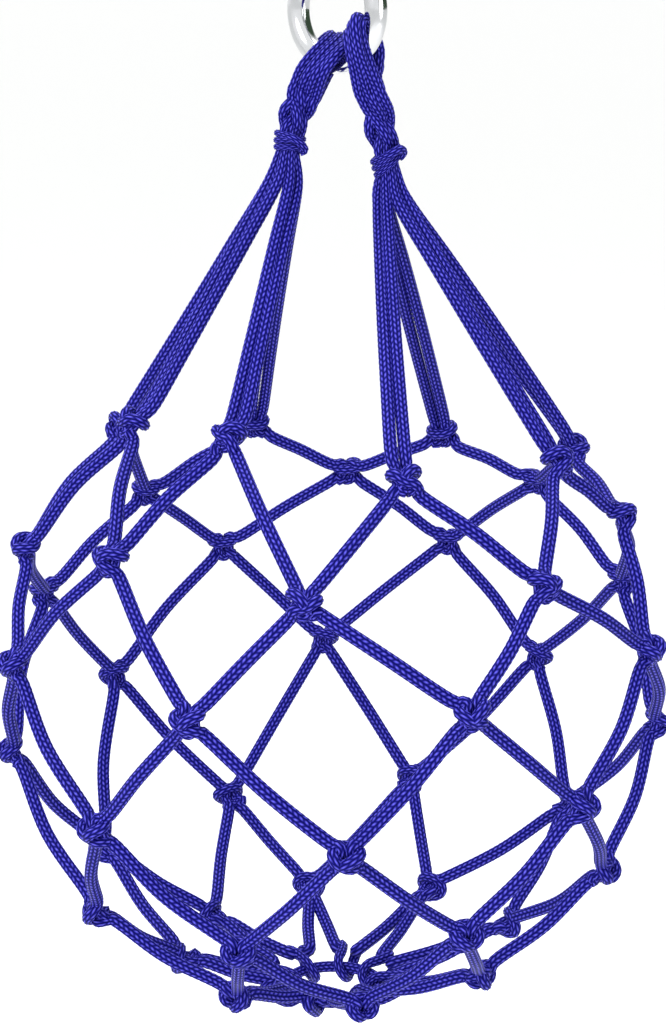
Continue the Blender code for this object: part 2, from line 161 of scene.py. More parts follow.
# %% The two halves of the knot: (east, north, out, cord radius) in millimetres
BIGHT_OF_KNOT = [
    (-2.3, 4.3, -0.9, 2.0),
    (-2.0, 1.6, -0.2, 1.9),
    (-2.5, -1.2, -0.5, 1.85),
    (-2.0, -3.5, -0.9, 1.85),
    (0.0, -4.6, -1.0, 1.85),
    (2.0, -3.5, -0.9, 1.85),
    (2.5, -1.2, -0.5, 1.85),
    (2.0, 1.6, -0.2, 1.9),
    (2.3, 4.3, -0.9, 2.0),
]
TURN_OF_KNOT = [
    (-3.4, -3.6, -2.6, 2.0),
    (-1.0, -2.4, 0.6, 1.9),
    (-0.3, -0.6, 3.9, 1.9),
    (2.4, 1.6, 4.0, 1.95),
    (4.9, 2.8, 0.9, 1.95),
    (3.0, 3.2, -2.7, 1.85),
    (-2.6, 2.8, -2.8, 1.85),
    (-4.9, 1.8, 0.4, 1.95),
    (-3.8, 0.0, 3.0, 1.95),
    (-0.9, -2.2, 2.6, 1.85),
    (2.4, -3.0, 2.0, 1.9),
]
KNOT_SIZE = 0.93
KNOT_CORD = 1.07            # the cord bulges where it is jammed in a knot
KNOT_TURN = 10              # a knot is turned by up to this many degrees either way
KNOT_SIZES = (0.95, 1.06)   # and is this much smaller or larger


def knot_shape(spot, template, draw, mirrored):
    """Places a template at a knot, with its own small turn and size, as (point, radius) pairs."""
    turn = math.radians(draw.uniform(-KNOT_TURN, KNOT_TURN))
    size = KNOT_SIZE * draw.uniform(*KNOT_SIZES) * MM
    hand = -1 if mirrored else 1
    placed = []
    for east, north, out, radius in template:
        east *= hand
        turned_east = east * math.cos(turn) - north * math.sin(turn)
        turned_north = east * math.sin(turn) + north * math.cos(turn)
        placed.append((spot.at(turned_east * size, turned_north * size, out * size), radius * KNOT_CORD * MM))
    return placed[::-1] if mirrored else placed


print("cord in one knot:", len(BIGHT_OF_KNOT) + len(TURN_OF_KNOT), "guide points")

# %% [markdown]
# ## Smooth centrelines
#
# Guide points are joined by a Catmull-Rom curve, which passes through every point and never
# overshoots much. The cord's radius travels with it, because soft hollow braid is squeezed thin
# in the knots and is full between them.

# %% A smooth line through guide points, and a curve object from such lines
SMOOTH_STEPS = 6


def smooth(guides, steps, closed=False):
    """(point, radius) pairs along a Catmull-Rom curve through the guides."""
    count = len(guides)
    found = []
    for i in range(count if closed else count - 1):
        if closed:
            four = [guides[(i + k - 1) % count] for k in range(4)]
        else:
            four = [guides[max(0, i - 1)], guides[i], guides[i + 1], guides[min(count - 1, i + 2)]]
        (p0, _), (p1, r1), (p2, r2), (p3, _) = four
        for step in range(steps):
            t = step / steps
            point = 0.5 * (2 * p1 + (p2 - p0) * t + (2 * p0 - 5 * p1 + 4 * p2 - p3) * t * t
                           + (3 * p1 - p0 - 3 * p2 + p3) * t ** 3)
            found.append((point, r1 + (r2 - r1) * t))
    if not closed:
        found.append(guides[-1])
    return found


def add_object(name, data):
    made = bpy.data.objects.new(name, data)
    bpy.context.scene.collection.objects.link(made)
    return made


def guide_curve(name, lines, closed=False):
    """A curve object with one poly spline for each line of (point, radius) pairs."""
    data = bpy.data.curves.new(name, "CURVE")
    data.dimensions = "3D"
    data.twist_mode = "MINIMUM"
    for line in lines:
        spline = data.splines.new("POLY")
        spline.points.add(len(line) - 1)
        for bead, (point, radius) in zip(spline.points, line):
            bead.co = (*point, 1)
            bead.radius = radius
        spline.use_cyclic_u = closed
    return add_object(name, data)


def line_length(line):
    return sum((two[0] - one[0]).length for one, two in zip(line, line[1:]))


# %% [markdown]
# ## Braided cord as a node tree
#
# A braiding machine carries yarns round the cord both ways, each passing over and under the
# others, which leaves rows of small slanted humps. The tree resamples a centreline evenly,
# sweeps a ring along it, and lifts the surface where a yarn lies on top. It also leaves two
# attributes on the mesh for the material to read: how far along the cord a point is, and where
# round it, as a cosine and a sine so that nothing tears at the seam.

# %% Node helpers
def socket_id(tree, name):
    """The identifier of one of a tree's inputs."""
    for item in tree.interface.items_tree:
        if item.item_type == "SOCKET" and item.in_out == "INPUT" and item.name == name:
            return item.identifier
    raise KeyError(name)


def add_node(tree, kind, place, **settings):
    node = tree.nodes.new(kind)
    node.location = place
    for key, value in settings.items():
        setattr(node, key, value)
    return node


def maths(tree, operation, one, two=None, place=(0, 0)):
    """A Math node fed by sockets or numbers."""
    node = add_node(tree, "ShaderNodeMath", place, operation=operation)
    for slot, value in zip(node.inputs, (one, two)):
        if value is None:
            continue
        if isinstance(value, (int, float)):
            slot.default_value = value
        else:
            tree.links.new(value, slot)
    return node.outputs[0]


def braid_lift(tree, cosine, sine, along, rows, pick):
    """The height of the top yarn, from 0 in the gaps to 1 on its crown, and the row's lean.

    The humps stand in rows along the cord, and neighbouring rows lean opposite ways.
    """
    angle = maths(tree, "ARCTAN2", sine, cosine)
    turns = maths(tree, "MULTIPLY", maths(tree, "DIVIDE", angle, 2 * math.pi), rows)
    odd = maths(tree, "FLOORED_MODULO", maths(tree, "FLOOR", turns), 2)
    lean = maths(tree, "SUBTRACT", 1, maths(tree, "MULTIPLY", odd, 2))
    place = maths(tree, "FRACT", turns)
    slant = maths(tree, "MULTIPLY", maths(tree, "MULTIPLY", maths(tree, "SUBTRACT", place, 0.5), lean), 0.55)
    picks = maths(tree, "ADD", maths(tree, "DIVIDE", along, pick), maths(tree, "MULTIPLY", odd, 0.5))
    dash = maths(tree, "FRACT", maths(tree, "ADD", picks, slant))
    across = maths(tree, "POWER", maths(tree, "SINE", maths(tree, "MULTIPLY", place, math.pi)), 0.7)
    lengthwise = maths(tree, "POWER", maths(tree, "SINE", maths(tree, "MULTIPLY", dash, math.pi)), 0.8)
    arched = maths(tree, "ADD", maths(tree, "MULTIPLY", lengthwise, 0.65), 0.35)
    return maths(tree, "MULTIPLY", across, arched), lean


# %% The cord tree
def make_cord_tree():
    tree = bpy.data.node_groups.new("braided cord", "GeometryNodeTree")
    add_input = tree.interface.new_socket
    add_input("Geometry", in_out="INPUT", socket_type="NodeSocketGeometry")
    for name, value in (("Spacing", 0.0009), ("Rows", 10.0), ("Pick", 0.0024), ("Relief", 0.0003)):
        add_input(name, in_out="INPUT", socket_type="NodeSocketFloat").default_value = value
    add_input("Sides", in_out="INPUT", socket_type="NodeSocketInt").default_value = 20
    add_input("Cord", in_out="INPUT", socket_type="NodeSocketMaterial")
    add_input("Geometry", in_out="OUTPUT", socket_type="NodeSocketGeometry")

    start = add_node(tree, "NodeGroupInput", (-1200, 0))
    given = start.outputs
    link = tree.links.new

    resample = add_node(tree, "GeometryNodeResampleCurve", (-1000, 0), mode="LENGTH")
    link(given["Geometry"], resample.inputs["Curve"])
    link(given["Spacing"], resample.inputs["Length"])
    spline = add_node(tree, "GeometryNodeSplineParameter", (-1000, -200))
    keep_along = add_node(tree, "GeometryNodeStoreNamedAttribute", (-800, 0), domain="POINT")
    keep_along.inputs["Name"].default_value = "along"
    link(resample.outputs["Curve"], keep_along.inputs["Geometry"])
    link(spline.outputs["Length"], keep_along.inputs["Value"])

    profile = add_node(tree, "GeometryNodeCurvePrimitiveCircle", (-1000, -500))
    link(given["Sides"], profile.inputs["Resolution"])
    profile.inputs["Radius"].default_value = 1.0
    place = add_node(tree, "GeometryNodeInputPosition", (-1000, -700))
    keep_round = add_node(tree, "GeometryNodeStoreNamedAttribute", (-800, -500),
                          domain="POINT", data_type="FLOAT_VECTOR")
    keep_round.inputs["Name"].default_value = "round"
    link(profile.outputs["Curve"], keep_round.inputs["Geometry"])
    link(place.outputs["Position"], keep_round.inputs["Value"])

    sweep = add_node(tree, "GeometryNodeCurveToMesh", (-600, 0))
    thickness = add_node(tree, "GeometryNodeInputRadius", (-800, -250))
    link(keep_along.outputs["Geometry"], sweep.inputs["Curve"])
    link(keep_round.outputs["Geometry"], sweep.inputs["Profile Curve"])
    link(thickness.outputs["Radius"], sweep.inputs["Scale"])
    sweep.inputs["Fill Caps"].default_value = True

    along = add_node(tree, "GeometryNodeInputNamedAttribute", (-600, -300), data_type="FLOAT")
    along.inputs["Name"].default_value = "along"
    around = add_node(tree, "GeometryNodeInputNamedAttribute", (-600, -450), data_type="FLOAT_VECTOR")
    around.inputs["Name"].default_value = "round"
    parts = add_node(tree, "ShaderNodeSeparateXYZ", (-400, -450))
    link(around.outputs["Attribute"], parts.inputs[0])
    lift, _ = braid_lift(tree, parts.outputs["X"], parts.outputs["Y"], along.outputs["Attribute"],
                         given["Rows"], given["Pick"])
    height = maths(tree, "MULTIPLY", maths(tree, "SUBTRACT", lift, 0.5), given["Relief"])
    normal = add_node(tree, "GeometryNodeInputNormal", (0, -300))
    offset = add_node(tree, "ShaderNodeVectorMath", (100, -200), operation="SCALE")
    link(normal.outputs["Normal"], offset.inputs[0])
    link(height, offset.inputs["Scale"])
    move = add_node(tree, "GeometryNodeSetPosition", (250, 0))
    link(sweep.outputs["Mesh"], move.inputs["Geometry"])
    link(offset.outputs[0], move.inputs["Offset"])

    whole = add_node(tree, "GeometryNodeRealizeInstances", (400, 0))
    finish = add_node(tree, "GeometryNodeSetMaterial", (550, 0))
    end = add_node(tree, "NodeGroupOutput", (700, 0))
    link(move.outputs["Geometry"], whole.inputs["Geometry"])
    link(whole.outputs["Geometry"], finish.inputs["Geometry"])
    link(given["Cord"], finish.inputs["Material"])
    link(finish.outputs["Geometry"], end.inputs["Geometry"])
    return tree


cord_tree = make_cord_tree()
print("cord tree nodes:", len(cord_tree.nodes))

# %% [markdown]
# ## What the cord looks like
#
# The cord is a royal blue polypropylene braid with a satin shine. Each hump gets a painted
# highlight, a short light dash of colour on its crown, besides the real shine of a thin coat there;
# the gaps between yarns get painted shade, nearly black-blue; and the fine filaments along a yarn
# break the shine up, in the bump and with thin lines of painted shade. The braid's pattern is a
# shader group, so that the net, the suspension cords and the legs share one weave.

# %% The braid pattern as a shader group
PICK = 2.4 * MM
ROWS = 10


def make_braid_group():
    group = bpy.data.node_groups.new("braid pattern", "ShaderNodeTree")
    new = group.interface.new_socket
    new("Rows", in_out="INPUT", socket_type="NodeSocketFloat").default_value = ROWS
    new("Pick", in_out="INPUT", socket_type="NodeSocketFloat").default_value = PICK
    new("Filaments", in_out="INPUT", socket_type="NodeSocketFloat").default_value = 3
    new("Height", in_out="OUTPUT", socket_type="NodeSocketFloat")
    new("Crown", in_out="OUTPUT", socket_type="NodeSocketFloat")
    new("Filament", in_out="OUTPUT", socket_type="NodeSocketFloat")
    given = add_node(group, "NodeGroupInput", (-1200, 0)).outputs
    out = add_node(group, "NodeGroupOutput", (900, 0))
    along = add_node(group, "ShaderNodeAttribute", (-1200, -200), attribute_name="along")
    around = add_node(group, "ShaderNodeAttribute", (-1200, -400), attribute_name="round")
    parts = add_node(group, "ShaderNodeSeparateXYZ", (-1000, -400))
    group.links.new(around.outputs["Vector"], parts.inputs[0])
    lift, lean = braid_lift(group, parts.outputs["X"], parts.outputs["Y"], along.outputs["Fac"],
                             given["Rows"], given["Pick"])
    angle = maths(group, "ARCTAN2", parts.outputs["Y"], parts.outputs["X"])
    turns = maths(group, "MULTIPLY", maths(group, "DIVIDE", angle, 2 * math.pi), given["Rows"])
    picks = maths(group, "DIVIDE", along.outputs["Fac"], given["Pick"])
    lane = maths(group, "SUBTRACT", turns, maths(group, "MULTIPLY", picks, lean))
    ripple = maths(group, "COSINE", maths(
        group, "MULTIPLY", maths(group, "MULTIPLY", lane, given["Filaments"]), 2 * math.pi))
    filament = maths(group, "ADD", maths(group, "MULTIPLY", ripple, 0.5), 0.5)
    height = maths(group, "ADD", lift, maths(group, "MULTIPLY", filament, 0.12))
    crown = maths(group, "POWER", lift, 5)
    group.links.new(height, out.inputs["Height"])
    group.links.new(crown, out.inputs["Crown"])
    group.links.new(filament, out.inputs["Filament"])
    return group


braid_group = make_braid_group()


# %% The blue cord material
def mix_colour(tree, factor, one, two, place, blend="MIX"):
    """A colour Mix node; colours are sockets or (r, g, b) values."""
    node = add_node(tree, "ShaderNodeMix", place, data_type="RGBA", blend_type=blend)
    for value, slot in ((factor, node.inputs[0]), (one, node.inputs[6]), (two, node.inputs[7])):
        if isinstance(value, tuple):
            slot.default_value = (*value, 1)
        elif isinstance(value, (int, float)):
            slot.default_value = value
        else:
            tree.links.new(value, slot)
    return node.outputs[2]


def make_cord_material(name, crown_highlight_colour, body_colour, gap_shade_colour, roughness):
    material = bpy.data.materials.new(name)
    material.use_nodes = True
    tree = material.node_tree
    shader = tree.nodes["Principled BSDF"]
    braid = add_node(tree, "ShaderNodeGroup", (-900, 0), node_tree=braid_group)
    place = add_node(tree, "ShaderNodeTexCoord", (-1300, -300))
    fade = add_node(tree, "ShaderNodeTexNoise", (-1100, -300))
    fade.inputs["Scale"].default_value = 38
    fade.inputs["Detail"].default_value = 3
    tree.links.new(place.outputs["Object"], fade.inputs["Vector"])
    lint = add_node(tree, "ShaderNodeTexNoise", (-1100, -550))
    lint.inputs["Scale"].default_value = 1400
    lint.inputs["Detail"].default_value = 2
    tree.links.new(place.outputs["Object"], lint.inputs["Vector"])

    # The gaps between the yarns, and thin lines between the filaments, are painted shade: the colour goes
    # nearly black where the braid's height is low.
    body = mix_colour(tree, braid.outputs["Height"], gap_shade_colour, body_colour, (-600, 200))
    # The crowns of the humps get a painted highlight: a light blue mixed in where the top yarn is highest.
    lit = mix_colour(tree, braid.outputs["Crown"], body, crown_highlight_colour, (-400, 200))
    faded = mix_colour(tree, maths(tree, "MULTIPLY", fade.outputs["Fac"], 0.35), lit,
                       tuple(0.55 * c for c in body_colour), (-200, 200))
    tree.links.new(faded, shader.inputs["Base Color"])

    rough = maths(tree, "ADD", maths(tree, "MULTIPLY", lint.outputs["Fac"], 0.24), roughness - 0.12)
    tree.links.new(rough, shader.inputs["Roughness"])
    shader.inputs["Sheen Weight"].default_value = 0.02
    shader.inputs["Sheen Roughness"].default_value = 0.4
    shader.inputs["Sheen Tint"].default_value = (0.35, 0.35, 1.0, 1)
    shader.inputs["Specular IOR Level"].default_value = 0.05
    tree.links.new(maths(tree, "MULTIPLY", braid.outputs["Crown"], 0.4), shader.inputs["Coat Weight"])
    shader.inputs["Coat Roughness"].default_value = 0.30
    shader.inputs["Coat IOR"].default_value = 1.35

    relief = maths(tree, "ADD", braid.outputs["Height"], maths(tree, "MULTIPLY", lint.outputs["Fac"], 0.25))
    bump = add_node(tree, "ShaderNodeBump", (-200, -300))
    bump.inputs["Strength"].default_value = 0.75
    bump.inputs["Distance"].default_value = 0.00035
    tree.links.new(relief, bump.inputs["Height"])
    tree.links.new(bump.outputs["Normal"], shader.inputs["Normal"])
    return material


# Colours: a painted highlight on the crowns, the cord's own blue, and painted shade in the gaps.
net_blue = make_cord_material("net_cord_blue", (0.12, 0.11, 0.76), (0.003, 0.003, 0.21),
                              (0.0003, 0.0003, 0.014), 0.50)
print("materials:", net_blue.name)


# %% A finished cord piece from its centrelines
def make_cords(name, lines, material, closed=False, sides=30, spacing=0.8 * MM):
    """Sweeps braided cord along the lines and returns one plain mesh object."""
    guide = guide_curve(name + "_guide", lines, closed)
    modifier = guide.modifiers.new("cord", "NODES")
    modifier.node_group = cord_tree
    modifier[socket_id(cord_tree, "Spacing")] = spacing
    modifier[socket_id(cord_tree, "Rows")] = float(ROWS)
    modifier[socket_id(cord_tree, "Pick")] = PICK
    modifier[socket_id(cord_tree, "Relief")] = 0.30 * MM
    modifier[socket_id(cord_tree, "Sides")] = sides
    modifier[socket_id(cord_tree, "Cord")] = material
    graph = bpy.context.evaluated_depsgraph_get()
    mesh = bpy.data.meshes.new_from_object(guide.evaluated_get(graph), depsgraph=graph)
    mesh.name = name
    mesh.shade_smooth()
    made = add_object(name, mesh)
    bpy.data.objects.remove(guide)
    mesh.calc_loop_triangles()
    print(f"{name}: {len(mesh.loop_triangles)} triangles")
    return made


# %% [markdown]
# ## The net, one course at a time
#
# A course is one round of twine: it ties a knot on its own row, runs down the ball to the row
# below, turns back up as the bight that the next course's knot will hold, and goes on to the next
# knot. So six closed lines, each with eight knots and eight bights, make the whole net.

# %% The run of twine between a knot and a bight
KNOT_REACH = 8.5 * MM
KNOT_SHOULDER = 5.4            # where a run leaves its knot, in millimetres
TWINE_CLEARANCE = 0.2 * MM     # between the twine and the ball


def run_of_twine(start, end, radius, sideways):
    """Guides from one knot towards the next: off the knot, down to the ball, and straight across."""
    angle = start.out.angle(end.out)
    lay = BALL_RADIUS + radius + TWINE_CLEARANCE
    whole = angle * lay

    def on_ball(distance):
        share = distance / whole
        way = start.out * math.sin((1 - share) * angle) + end.out * math.sin(share * angle)
        return ball_centre + way / math.sin(angle) * lay

    towards = end.point - start.point
    heading = Vector((towards.dot(start.east), towards.dot(start.north))).normalized() * KNOT_SHOULDER * MM
    across = start.out.cross(end.out).normalized() * sideways
    return [
        (start.at(heading.x, heading.y, -0.9 * MM), radius * 0.9),
        (on_ball(KNOT_REACH), radius),
        (on_ball(whole / 2) + across, radius),
        (on_ball(whole - KNOT_REACH), radius),
    ]


def below(row, index):
    """The index, one row down, of the knot that lies between knots index and index + 1."""
    return index if KNOT_ROWS[row + 1][1] > KNOT_ROWS[row][1] else index + 1


# %% The bottom ring and the bights that hang on it
BOTTOM_RING_RADIUS = 18 * MM
BOTTOM_LAY = BALL_RADIUS + 6.3 * MM


def bottom_spot(index):
    azimuth = math.radians(KNOT_ROWS[-1][1]) + 2 * math.pi * (index + 0.5) / MESHES_ROUND
    polar = math.asin(BOTTOM_RING_RADIUS / BOTTOM_LAY)
    return Spot(azimuth, polar - math.pi / 2, BOTTOM_LAY)


BIGHT_ON_RING = [
    (-3.0, 11.0, -1.6, 2.2),
    (-1.9, 4.5, 2.6, 2.0),
    (-1.8, -0.6, 4.1, 1.8),
    (-0.9, -4.0, 1.6, 1.8),
    (0.9, -4.0, -1.6, 1.8),
    (1.8, -0.6, -4.0, 1.8),
    (1.9, 4.5, -4.0, 2.0),
    (3.0, 11.0, -3.4, 2.2),
]


# %% Walk round each course
def course_line(row):
    """The closed centreline of one course, as (point, radius) guides.

    From each knot the twine runs down to a bight in the row below and back up to the next knot.
    """
    draw = random.Random(100 + row)
    guides = []
    for index in range(MESHES_ROUND):
        here, following = knot_spot(row, index), knot_spot(row, index + 1)
        guides += knot_shape(here, TURN_OF_KNOT, draw, mirrored=draw.random() < 0.4)
        if row < len(KNOT_ROWS) - 1:
            tip = knot_spot(row + 1, below(row, index))
            bight = knot_shape(tip, BIGHT_OF_KNOT, random.Random(7 * index + row), mirrored=False)
        else:
            tip = bottom_spot(index)
            bight = [(tip.at(e * MM, n * MM, o * MM), r * MM) for e, n, o, r in BIGHT_ON_RING]
        full = CORD_RADIUS * draw.uniform(0.97, 1.04)
        guides += run_of_twine(here, tip, full, draw.uniform(-0.5, 0.5) * MM)
        guides += bight
        guides += run_of_twine(following, tip, full, draw.uniform(-0.5, 0.5) * MM)[::-1]
    return guides


COURSE_NAMES = [f"net_twine_{row + 1}" for row in range(len(KNOT_ROWS))]
twine_lengths = {}
for row, name in enumerate(COURSE_NAMES):
    line = smooth(course_line(row), SMOOTH_STEPS, closed=True)
    twine_lengths[name] = line_length(line)
    twine = make_cords(name, [line], net_blue, closed=True, spacing=0.85 * MM)
    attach(twine, "bag")
    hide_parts(f"net_course_{row + 1}")
print("twine in each course, m:", {name: round(length, 2) for name, length in twine_lengths.items()})

# %% The loop under the ball
LOOP_POINTS, LOOP_STEPS = 24, 4
LOOP_CORD_RADIUS = 2.1 * MM
loop_height = -math.sqrt(BOTTOM_LAY ** 2 - BOTTOM_RING_RADIUS ** 2)
loop_guides = []
for k in range(LOOP_POINTS):
    angle = 2 * math.pi * k / LOOP_POINTS
    east, north = BOTTOM_RING_RADIUS * math.cos(angle), BOTTOM_RING_RADIUS * math.sin(angle)
    loop_guides.append((ball_centre + Vector((east, north, loop_height)), LOOP_CORD_RADIUS))
loop_line = smooth(loop_guides, LOOP_STEPS, closed=True)
bottom_loop = make_cords("bottom_loop", [loop_line], net_blue, closed=True)
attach(bottom_loop, "bag")
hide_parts("bottom_ring")

# %% [markdown]
# ## The eight long cords
#
# Each leg is four long cords folded in the middle over the ring, so it has eight strands. Three of
# the cords have their front halves in one bundle of the plait and their back halves in another,
# and the fourth cord's two halves make the third bundle. Below the lashing the eight strands go in
# pairs to four mouth knots, where two strands meet in the tip of a bight.

# %% The two lashings, and the place on the ring that each leg hangs from
PLAIT_TOP = 11.8               # a plait starts this far from the bar's middle, in millimetres


def bar_at(turn):
    """The middle of the ring's bar and its direction, at this angle from its lowest point."""
    along = along_ring * math.cos(turn) + Vector((0, 0, math.sin(turn)))
    outwards = along_ring * math.sin(turn) - Vector((0, 0, math.cos(turn)))
    return ring_middle + outwards * BAR_MIDDLE_RADIUS, along


class Lashing:
    """Where eight strands are bound, and the leg that rises from it to the ring."""

    def __init__(self, side, offset, on_ring, bulge, lean, first_knot, first_angle):
        self.side = side
        self.lean = lean
        self.middle = lowest_wire + offset * MM
        self.first_knot = first_knot
        self.first_angle = math.radians(first_angle)
        self.turn = math.radians(on_ring)
        self.wire, _ = bar_at(self.turn)
        leg = (self.middle - self.wire).normalized() * PLAIT_TOP
        self.leg_top = self.wire + (leg + Vector((bulge, 0, 0))) * MM
        towards_ring = (self.leg_top - self.middle).normalized()
        self.up = (Vector((0, 0, 1)) + towards_ring).normalized()
        self.right = (Vector((1, 0, 0)) - self.up * self.up.x).normalized()
        self.back = self.up.cross(self.right)

    def at(self, right, back, up):
        return self.middle + self.right * right + self.back * back + self.up * up

    def slot(self, number, radius, up):
        """A place in the round of eight strands, counted anticlockwise seen from above."""
        angle = self.first_angle + (number - 0.5) * math.pi / 4
        return self.at(radius * math.cos(angle), radius * math.sin(angle), up)


lashings = [
    Lashing("left", Vector((-17.0, 0.5, -27.9)), -12.5, -3.0, -2.4, -2, 45),
    Lashing("right", Vector((18.1, 2.5, -34.5)), 36, -0.8, 0.8, 2, 225),
]
for lashing in lashings:
    print(lashing.side, "leg, mm:", round((lashing.leg_top - lashing.middle).length / MM, 1))

# %% [markdown]
# ## The plait
#
# Three bundles swing from side to side a third of a turn apart and pass over and under at twice
# that pace, which is all that a three-strand plait is. It is plaited loosely, so a leg shows less
# than half a turn. Inside its bundle each strand keeps its place and slowly rolls.

# %% Where a strand runs in the plait
PLAIT_STEPS = 8
PLAIT_WIDTH, PLAIT_DEPTH = 3.2 * MM, 2.2 * MM
TOP_PHASE, BOTTOM_PHASE = math.radians(45), math.radians(210)
PLAIT_CORD_RADIUS = 1.85 * MM
PLAIT_TIGHTENS = 0.24          # share of its size that a plait loses on the way into the lashing
WOVEN_BY = 0.6                 # share of the leg in which side by side turns into plait
FOLD_CLOSING = 0.8             # the strands' spacing under the wire, as a share of the fold's
FOLD_HALF_DEPTH = 2.9          # the two halves there, from the leg's middle, in millimetres

# The four folds over the wire: place along it and radius of the bend, in millimetres.
FOLDS = {
    "left": [(-1.8, 9.8), (2.0, 9.5), (5.6, 8.6), (-5.5, 8.4)],
    "right": [(0.0, 10.2), (3.4, 10.4), (5.6, 7.4), (-3.4, 9.0)],
}
FOLD_DEGREES = [56, 90, 125, 162, 198, 235, 270, 304]
FOLD_CORD_RADIUS = 1.95 * MM
FOLD_FACING = 0.8              # how far a fold turns from across the bar towards the front


def plait_guides(lashing, cord, half):
    """One strand from just under the ring down to just above the lashing."""
    if cord == 3:
        bundle, roll_start, own_spread = 2, half * math.pi, 1.75 * MM
    else:
        bundle, roll_start, own_spread = half, 2 * math.pi * cord / 3, 2.0 * MM
    top, bottom = lashing.leg_top, lashing.at(0, 0, 2.5 * MM)
    bend = lashing.at(0, 0, 12 * MM)
    guides = []
    for k in range(PLAIT_STEPS + 1):
        t = k / PLAIT_STEPS
        middle = top * (1 - t) ** 2 + bend * 2 * t * (1 - t) + bottom * t * t
        direction = ((bend - top) * (1 - t) + (bottom - bend) * t).normalized()
        side = (Vector((1, 0, 0)) - direction * direction.x).normalized()
        proud = direction.cross(side)
        phase = TOP_PHASE + (BOTTOM_PHASE - TOP_PHASE) * min(1, t / 0.9) + 2 * math.pi * bundle / 3
        roll = roll_start + 0.9 * t + 0.5 * math.pi
        tight = 1 - PLAIT_TIGHTENS * max(0, (t - 0.6) / 0.4)
        spread = own_spread * tight
        across = PLAIT_WIDTH * tight * math.sin(phase) + spread * math.cos(roll)
        above = PLAIT_DEPTH * math.sin(2 * phase) + 0.85 * spread * math.sin(roll)
        # Just under the wire the strands still lie as they do in the fold, side by side.
        woven = min(1, t / WOVEN_BY)
        woven *= woven * (3 - 2 * woven)
        across = across * woven + FOLDS[lashing.side][cord][0] * FOLD_CLOSING * MM * (1 - woven)
        depth = FOLD_HALF_DEPTH if half == 0 else -FOLD_HALF_DEPTH
        above = above * woven + depth * MM * (1 - woven)
        guides.append((middle + side * across + proud * above, PLAIT_CORD_RADIUS * (0.4 + 0.6 * tight)))
    return guides


def fold_guides(lashing, cord):
    """From the front of the ring's wire over its top to the back, aslant so that it faces front."""
    shift, bend = FOLDS[lashing.side][cord]
    bar, along = bar_at(lashing.turn + shift * MM / BAR_MIDDLE_RADIUS)
    front = Vector((0, -1, 0))
    facing = (across_ring + along * FOLD_FACING * front.dot(along) / front.dot(across_ring)).normalized()
    down = (lashing.leg_top - lashing.wire).normalized()
    guides = []
    for degrees in FOLD_DEGREES:
        angle = math.radians(degrees)
        point = (facing * math.sin(angle) + down * math.cos(angle)) * bend
        point.x += lashing.lean * abs(math.sin(angle))
        guides.append((bar + point * MM, FOLD_CORD_RADIUS))
    return guides


# %% Give each strand the nearest free place in the round of eight at the lashing
def strand_paths(lashing):
    """Eight strands as (cord, half) with their plait guides and the slot each one drops into."""
    paths = {(cord, half): plait_guides(lashing, cord, half) for cord in range(4) for half in (0, 1)}
    choices = sorted(
        ((lashing.slot(s, 3 * MM, 2 * MM) - guides[-1][0]).length, strand, s)
        for strand, guides in paths.items() for s in range(8)
    )
    slots = {}
    for _, strand, s in choices:
        if strand not in slots and s not in slots.values():
            slots[strand] = s
    return paths, slots


# %% [markdown]
# ## The doubled suspension cords
#
# Each strand leaves the knot beside its twin, runs nearly straight because it carries the ball,
# and closes in on the lashing. A millimetre of slack here and there opens slits of daylight
# between the two strands, as in any pair of cords that were cut and tied by hand.

# %% A strand from the knot's tip to the lashing
STRAND_AT_KNOT = [
    (0.0, -4.6, -1.0, 1.85),
    (2.0, -3.5, -0.9, 1.85),
    (2.5, -1.2, -0.5, 1.85),
    (2.0, 1.6, -0.2, 1.9),
    (2.1, 5.0, 0.2, 2.05),
    (2.5, 11.0, 1.2, 2.25),
]
STRAND_SWAY = 0.8              # how far a strand strays from straight, in millimetres
STRAND_SLIT = 0.9              # and how far it may stand off its twin


def strand_guides(lashing, number, draw):
    """From the tip of the bight up into the lashing, for the strand that ends in this slot."""
    order, east_side = divmod(number, 2)
    knot = knot_spot(0, lashing.first_knot + order)
    hand = 1 if east_side else -1
    guides = [(knot.at(hand * e * MM, n * MM, o * MM), r * MM) for e, n, o, r in STRAND_AT_KNOT]
    low, high = guides[-1][0], lashing.slot(number, 5.6 * MM, -16 * MM)
    sway = Vector((draw.uniform(-1, 1), draw.uniform(-1, 1), 0)) * STRAND_SWAY * MM
    spread = knot.east * hand * draw.uniform(0.0, STRAND_SLIT) * MM
    for share in (0.25, 0.5, 0.75):
        arch = math.sin(math.pi * share)
        guides.append((low.lerp(high, share) + (sway + spread) * arch, 2.25 * MM))
    guides.append((high, 2.1 * MM))
    guides.append((lashing.slot(number, 3.1 * MM, -5 * MM), 1.6 * MM))
    guides.append((lashing.slot(number, 2.85 * MM, -1 * MM), 1.4 * MM))
    return guides


# %% Make the long cords
long_cord_lengths = {}
for lashing in lashings:
    paths, slots = strand_paths(lashing)
    for cord in range(4):
        draw = random.Random(f"{lashing.side}{cord}")
        rising = strand_guides(lashing, slots[cord, 0], draw) + paths[cord, 0][::-1]
        falling = paths[cord, 1] + strand_guides(lashing, slots[cord, 1], draw)[::-1]
        line = smooth(rising + fold_guides(lashing, cord) + falling, SMOOTH_STEPS)
        name = f"long_cord_{lashing.side}_{cord + 1}"
        long_cord_lengths[name] = line_length(line)
        made = make_cords(name, [line], net_blue)
        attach(made, "bag")
        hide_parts(f"suspension_bight_{lashing.side}_{cord + 1}")
        if cord == 0:
            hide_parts(f"leg_{lashing.side}_three_cords")
        if cord == 3:
            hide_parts(f"leg_{lashing.side}_one_cord")
print("long cords, m:", {name: round(length, 3) for name, length in long_cord_lengths.items()})


